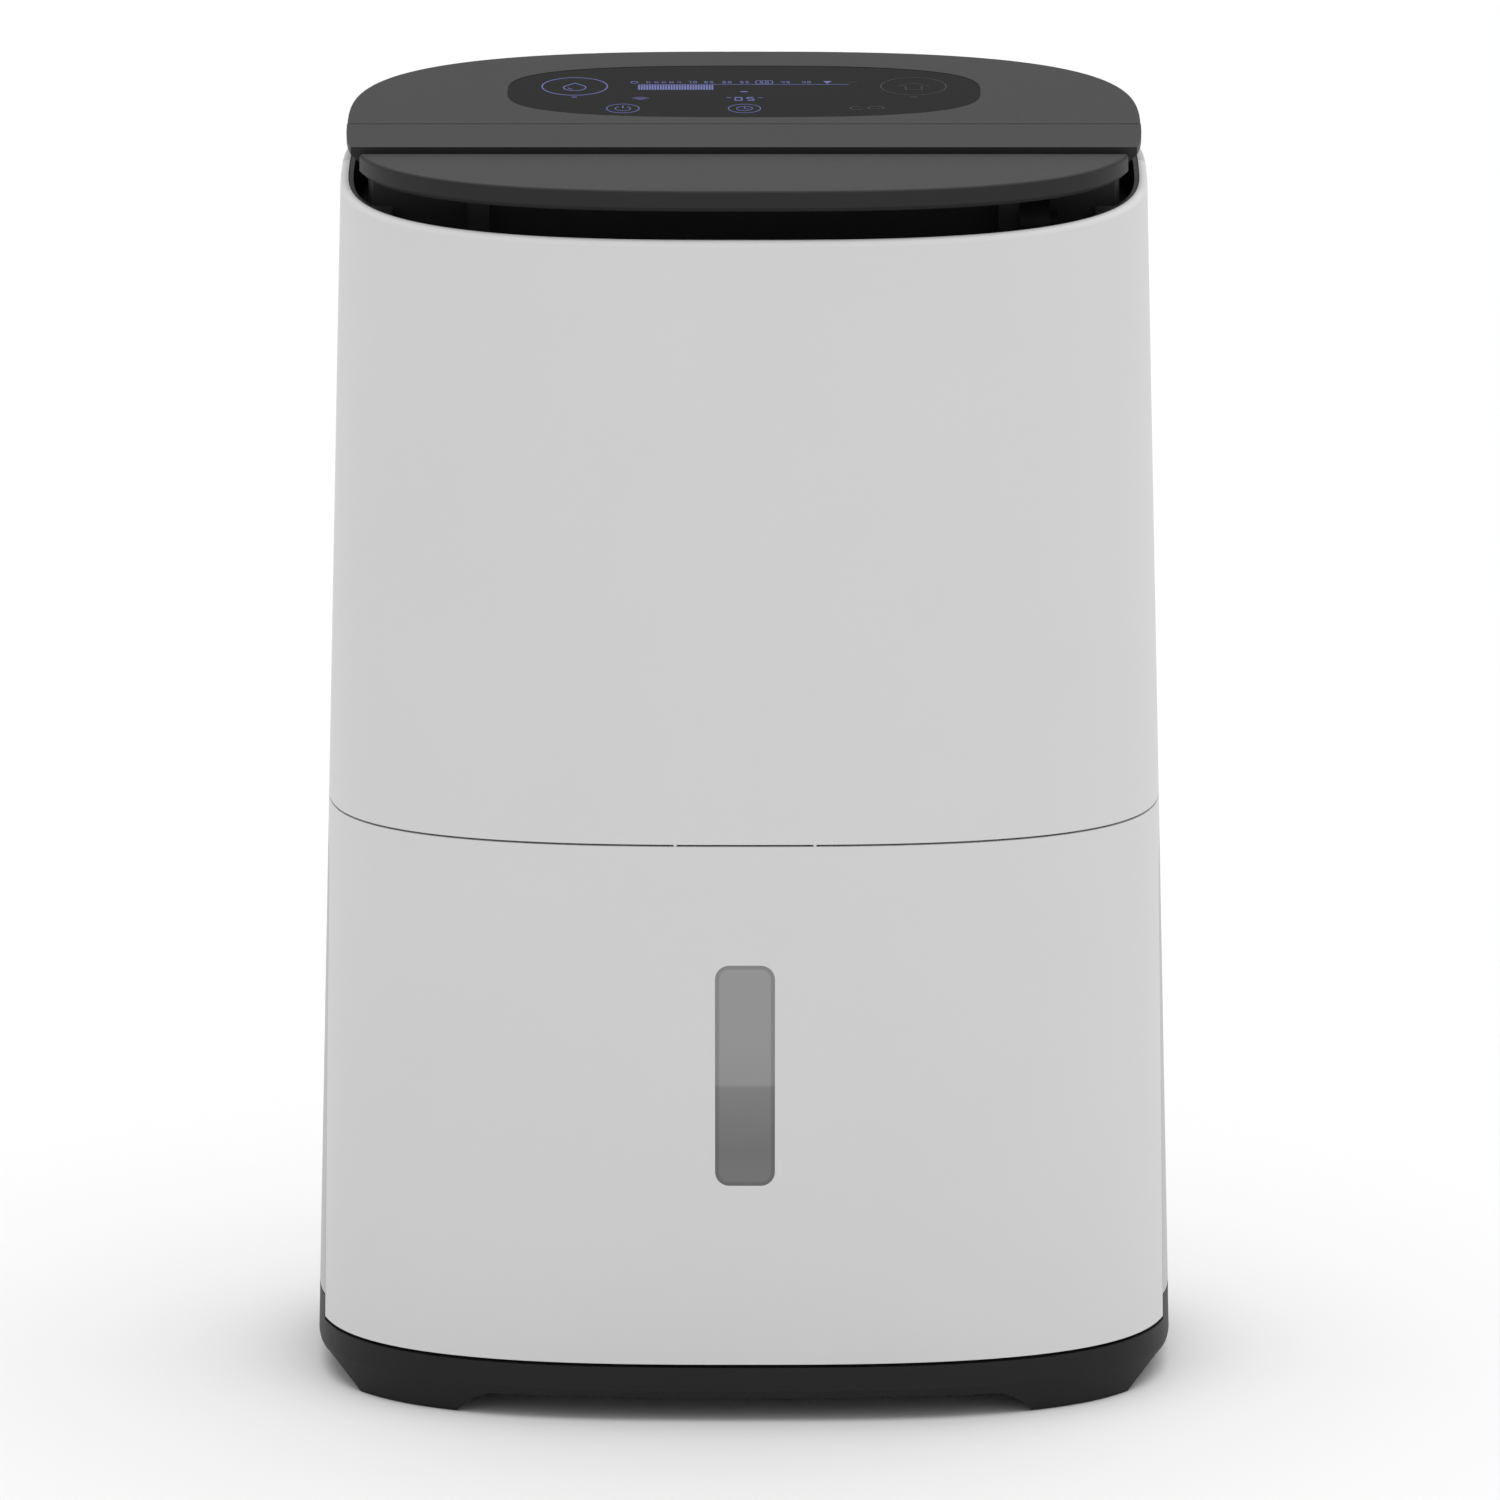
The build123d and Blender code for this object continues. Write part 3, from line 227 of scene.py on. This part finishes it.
SLOT_OF = {s["node"]: s["material_slot"] for s in frame["record"]["subparts"]}
for node, obj in ((n, bpy.data.objects.get(n)) for n in SLOT_OF):
    if obj is None:
        obj = frame["nodes"][node]
    for k in range(max(1, len(obj.material_slots))):
        if not obj.material_slots:
            obj.data.materials.append(MATS[SLOT_OF[node]])
        else:
            obj.material_slots[k].link = "OBJECT"
            obj.material_slots[k].material = MATS["rear_white" if node == "rear_cover" else SLOT_OF[node]]

# ------------------------------------------------------------------ printed and lit marks on the lens
LENS_TOP = LID_TOP - 0.0001
PRINT = 0.00006


class Marks:
    """Flat marks of a little thickness, drawn in the plane of the lens (mm)."""

    def __init__(self):
        self.bm = bmesh.new()

    def prism(self, outline):
        low = [self.bm.verts.new(top(u / 1000, v / 1000, LENS_TOP - PRINT)) for u, v in outline]
        high = [self.bm.verts.new(top(u / 1000, v / 1000, LENS_TOP + PRINT)) for u, v in outline]
        n = len(outline)
        self.bm.faces.new(high)
        self.bm.faces.new(low[::-1])
        for i in range(n):
            j = (i + 1) % n
            self.bm.faces.new((low[i], low[j], high[j], high[i]))

    def stroke(self, points, width, closed=False):
        """A line of even width along a list of points, mitred at its corners."""
        pts = [Vector(p) for p in points]
        n = len(pts)
        left, right = [], []
        for i, p in enumerate(pts):
            a = pts[i - 1] if (i > 0 or closed) else None
            b = pts[(i + 1) % n] if (i < n - 1 or closed) else None
            d = []
            if a is not None:
                d.append((p - a).normalized())
            if b is not None:
                d.append((b - p).normalized())
            t = (d[0] + d[-1]).normalized()
            m = Vector((-t.y, t.x))
            k = 1.0 / max(0.5, m.dot(Vector((-d[0].y, d[0].x))))
            left.append(p + m * width / 2 * k)
            right.append(p - m * width / 2 * k)
        rings = []
        for h in (LENS_TOP - PRINT, LENS_TOP + PRINT):
            rings.append([[self.bm.verts.new(top(q.x / 1000, q.y / 1000, h)) for q in side] for side in (left, right)])
        (ll, lr), (hl, hr) = rings
        for i in range(n if closed else n - 1):
            j = (i + 1) % n
            self.bm.faces.new((hr[i], hr[j], hl[j], hl[i]))
            self.bm.faces.new((ll[i], ll[j], lr[j], lr[i]))
            self.bm.faces.new((hl[i], hl[j], ll[j], ll[i]))
            self.bm.faces.new((lr[i], lr[j], hr[j], hr[i]))
        if not closed:
            for i in (0, n - 1):
                f = (ll[i], lr[i], hr[i], hl[i])
                self.bm.faces.new(f if i == 0 else f[::-1])

    def arc(self, u, v, r, a0, a1, width, steps=40):
        closed = abs(a1 - a0) >= 360
        n = steps if closed else steps + 1
        self.stroke([(u + r * math.cos(math.radians(a0 + (a1 - a0) * i / steps)), v + r * math.sin(math.radians(a0 + (a1 - a0) * i / steps))) for i in range(n)], width, closed)

    def bar(self, u0, u1, v0, v1):
        self.prism([(u0, v0), (u1, v0), (u1, v1), (u0, v1)])

    SEGMENTS = {"0": "abcdef", "1": "bc", "2": "abged", "3": "abgcd", "4": "fgbc", "5": "afgcd", "6": "afgedc", "7": "abc", "8": "abcdefg", "9": "abcdfg"}

    def number(self, text, u, v, height, width=None):
        w = height * 0.55 if width is None else width
        gap = w * 0.5
        t = height * 0.13
        u0 = u - (len(text) * w + (len(text) - 1) * gap) / 2
        for k, ch in enumerate(text):
            x0 = u0 + k * (w + gap)
            x1, y0, y1, ym = x0 + w, v - height / 2, v + height / 2, v
            e = t * 0.6
            for seg in self.SEGMENTS[ch]:
                if seg == "a":
                    self.bar(x0 + e, x1 - e, y1 - t, y1)
                elif seg == "g":
                    self.bar(x0 + e, x1 - e, ym - t / 2, ym + t / 2)
                elif seg == "d":
                    self.bar(x0 + e, x1 - e, y0, y0 + t)
                elif seg == "f":
                    self.bar(x0, x0 + t, ym + e, y1 - e)
                elif seg == "b":
                    self.bar(x1 - t, x1, ym + e, y1 - e)
                elif seg == "e":
                    self.bar(x0, x0 + t, y0 + e, ym - e)
                elif seg == "c":
                    self.bar(x1 - t, x1, y0 + e, ym - e)

    def finish(self, name, mat):
        me = bpy.data.meshes.new(name)
        self.bm.to_mesh(me)
        self.bm.free()
        o = bpy.data.objects.new(name, me)
        bpy.context.scene.collection.objects.link(o)
        me.materials.append(MATS[mat])
        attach(o, "housing")
        return o


def drop(m, u, v, r, width):
    pts = []
    for i in range(25):
        t = math.radians(125 + 290 * i / 24)
        pts.append((u + r * math.cos(t), v - r * 0.25 + r * math.sin(t)))
    pts.append((u, v + r * 1.25))
    m.stroke(pts, width, closed=True)


glow = Marks()
# left key: drop in a ring
glow.arc(-63.7, 48.8, 12.3, 0, 360, 0.46, steps=64)
drop(glow, -63.7, 48.2, 4.2, 0.42)
glow.arc(-63.7, 47.2, 2.4, 190, 250, 0.45, steps=10)
glow.bar(-64.7, -62.7, 33.6, 34.3)
# power key
glow.arc(-45.3, 18.1, 6.1, 0, 360, 0.32, steps=48)
glow.arc(-45.3, 18.0, 2.9, 120, 420, 0.30, steps=24)
glow.bar(-45.5, -45.1, 18.6, 21.8)
# timer key
glow.arc(0.2, 18.1, 6.0, 0, 360, 0.32, steps=48)
glow.arc(0.2, 18.1, 3.0, 0, 360, 0.28, steps=32)
glow.stroke([(0.2, 20.2), (0.2, 18.1), (1.9, 17.4)], 0.3)
# humidity bar and its scale
for i in range(28):
    u = -39.5 + 27.6 * i / 27
    glow.bar(u - 0.36, u + 0.36, 44.2, 50.8)
glow.bar(-39.8, 39.5, 51.45, 51.75)
for i, (u, n) in enumerate(((-36.1, "95"), (-33.1, "90"), (-30.2, "85"), (-27.3, "80"), (-24.5, "75"))):
    glow.number(n, u, 54.6, 1.9, width=0.62)
for u, n in ((-19.5, "70"), (-13.2, "65"), (-6.4, "60"), (0.2, "55"), (7.6, "50"), (15.6, "45"), (23.5, "40")):
    glow.number(n, u, 54.7, 2.7, width=1.35)
glow.stroke([(4.7, 52.4), (10.5, 52.4), (10.9, 54.7), (10.5, 57.0), (4.7, 57.0), (4.3, 54.7)], 0.3, closed=True)
glow.prism([(31.4, 52.6), (33.0, 56.2), (29.8, 56.2)])
glow.arc(-41.3, 54.6, 1.3, 0, 360, 0.35, steps=16)
glow.bar(-1.3, 1.3, 40.9, 41.9)
# readout
glow.number("05", 0.2, 31.4, 5.0, width=3.0)
glow.bar(-6.6, -4.8, 33.0, 33.4)
glow.bar(5.4, 7.0, 33.0, 33.4)
glow.arc(-38.8, 29.6, 1.2, 40, 140, 0.35, steps=8)
glow.arc(-38.8, 29.6, 2.6, 40, 140, 0.35, steps=10)
glow.arc(-38.8, 29.6, 4.0, 40, 140, 0.35, steps=12)
glow.finish("display_lit_marks", "display_glow")

dim = Marks()
dim.arc(63.8, 48.8, 12.3, 0, 360, 0.42, steps=64)
dim.stroke([(57.8, 48.8), (63.8, 53.6), (69.8, 48.8), (66.8, 48.8), (66.8, 44.2), (60.8, 44.2), (60.8, 48.8)], 0.4, closed=True)
dim.bar(62.4, 65.0, 33.4, 34.4)
dim.arc(42.2, 18.6, 2.4, 60, 330, 0.5, steps=20)
dim.arc(49.4, 18.0, 3.0, 0, 180, 0.5, steps=20)
dim.bar(46.4, 52.4, 17.2, 17.7)
dim.bar(39.4, 43.0, 54.3, 54.8)
dim.finish("display_unlit_marks", "display_dim")

# ------------------------------------------------------------------ two small tabs that show in the seam over the tank panel
HALF_WIDTH, DRAFT, DEPTH_RATIO, EXP_X, EXP_Y = 0.1619, 0.0258, 0.67, 2.8, 3.0


def front_y(x, z, inset=0.0):
    """Front surface of the body at x and height z."""
    a = HALF_WIDTH - DRAFT * z
    return -(a * DEPTH_RATIO * (1 - (abs(x) / a) ** EXP_X) ** (1 / EXP_Y) - inset)


tab_z0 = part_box("tank_panel")[1][2] + 0.00005
tab_z1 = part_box("front_cover")[0][2] + 0.0002
tabs = bmesh.new()
for x in (-0.0254, 0.0262):
    rings = []
    for z in (tab_z0, tab_z1):
        ring = []
        for dx, inset in ((-0.0006, 0.0003), (-0.0004, 0.0001), (0.0004, 0.0001), (0.0006, 0.0003), (0.0006, 0.0026), (-0.0006, 0.0026)):
            ring.append(tabs.verts.new((x + dx, front_y(x + dx, z, inset), z)))
        rings.append(ring)
    tabs.faces.new(rings[0][::-1])
    tabs.faces.new(rings[1])
    for i in range(6):
        j = (i + 1) % 6
        tabs.faces.new((rings[0][i], rings[0][j], rings[1][j], rings[1][i]))
bmesh.ops.recalc_face_normals(tabs, faces=tabs.faces[:])
tab_mesh = bpy.data.meshes.new("seam_tabs")
tabs.to_mesh(tab_mesh)
tabs.free()
tab_piece = bpy.data.objects.new("seam_tabs", tab_mesh)
bpy.context.scene.collection.objects.link(tab_piece)
tab_mesh.materials.append(MATS["body_white"])
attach(tab_piece, "housing")

# ------------------------------------------------------------------ floor, light, camera
bpy.ops.mesh.primitive_plane_add(size=30, location=(0, 4, 0))
floor = bpy.context.object
floor.name = "floor"
fm = material("floor_paper", (0.745, 0.745, 0.745), 0.9, spread=0.002, bump=0.0, specular=0.0)
floor.data.materials.append(fm)

world = bpy.data.worlds.new("studio")
bpy.context.scene.world = world
world.use_nodes = True
world.node_tree.nodes["Background"].inputs[0].default_value = (1, 1, 1, 1)
world.node_tree.nodes["Background"].inputs[1].default_value = 0.78


def area(name, loc, target, size, power):
    d = bpy.data.lights.new(name, "AREA")
    d.shape = "RECTANGLE"
    d.size, d.size_y = size
    d.energy = power
    o = bpy.data.objects.new(name, d)
    bpy.context.scene.collection.objects.link(o)
    o.location = loc
    o.rotation_euler = (Vector(target) - Vector(loc)).to_track_quat("-Z", "Y").to_euler()
    return o


overhead = bpy.data.lights.new("overhead", "SUN")
overhead.energy = 1.85
overhead.angle = math.radians(70)
lamp = bpy.data.objects.new("overhead", overhead)
lamp.location = (0, 0, 3)
lamp.rotation_euler = (math.radians(-7), math.radians(5), 0)
bpy.context.scene.collection.objects.link(lamp)
area("front_fill", (1.0, -4.0, 0.35), (0, 0, 0.05), (2.6, 0.5), 5)

cam_data = bpy.data.cameras.new("camera")
cam_data.lens = 286.33
cam_data.sensor_width = 36
cam_data.clip_start = 0.1
cam_data.clip_end = 100
cam = bpy.data.objects.new("camera", cam_data)
cam.location = (0.002259, -4.385739, 1.239912)
cam.rotation_euler = (math.radians(77.061), 0, 0)
bpy.context.scene.collection.objects.link(cam)
bpy.context.scene.camera = cam
bpy.context.scene.view_settings.view_transform = "Standard"
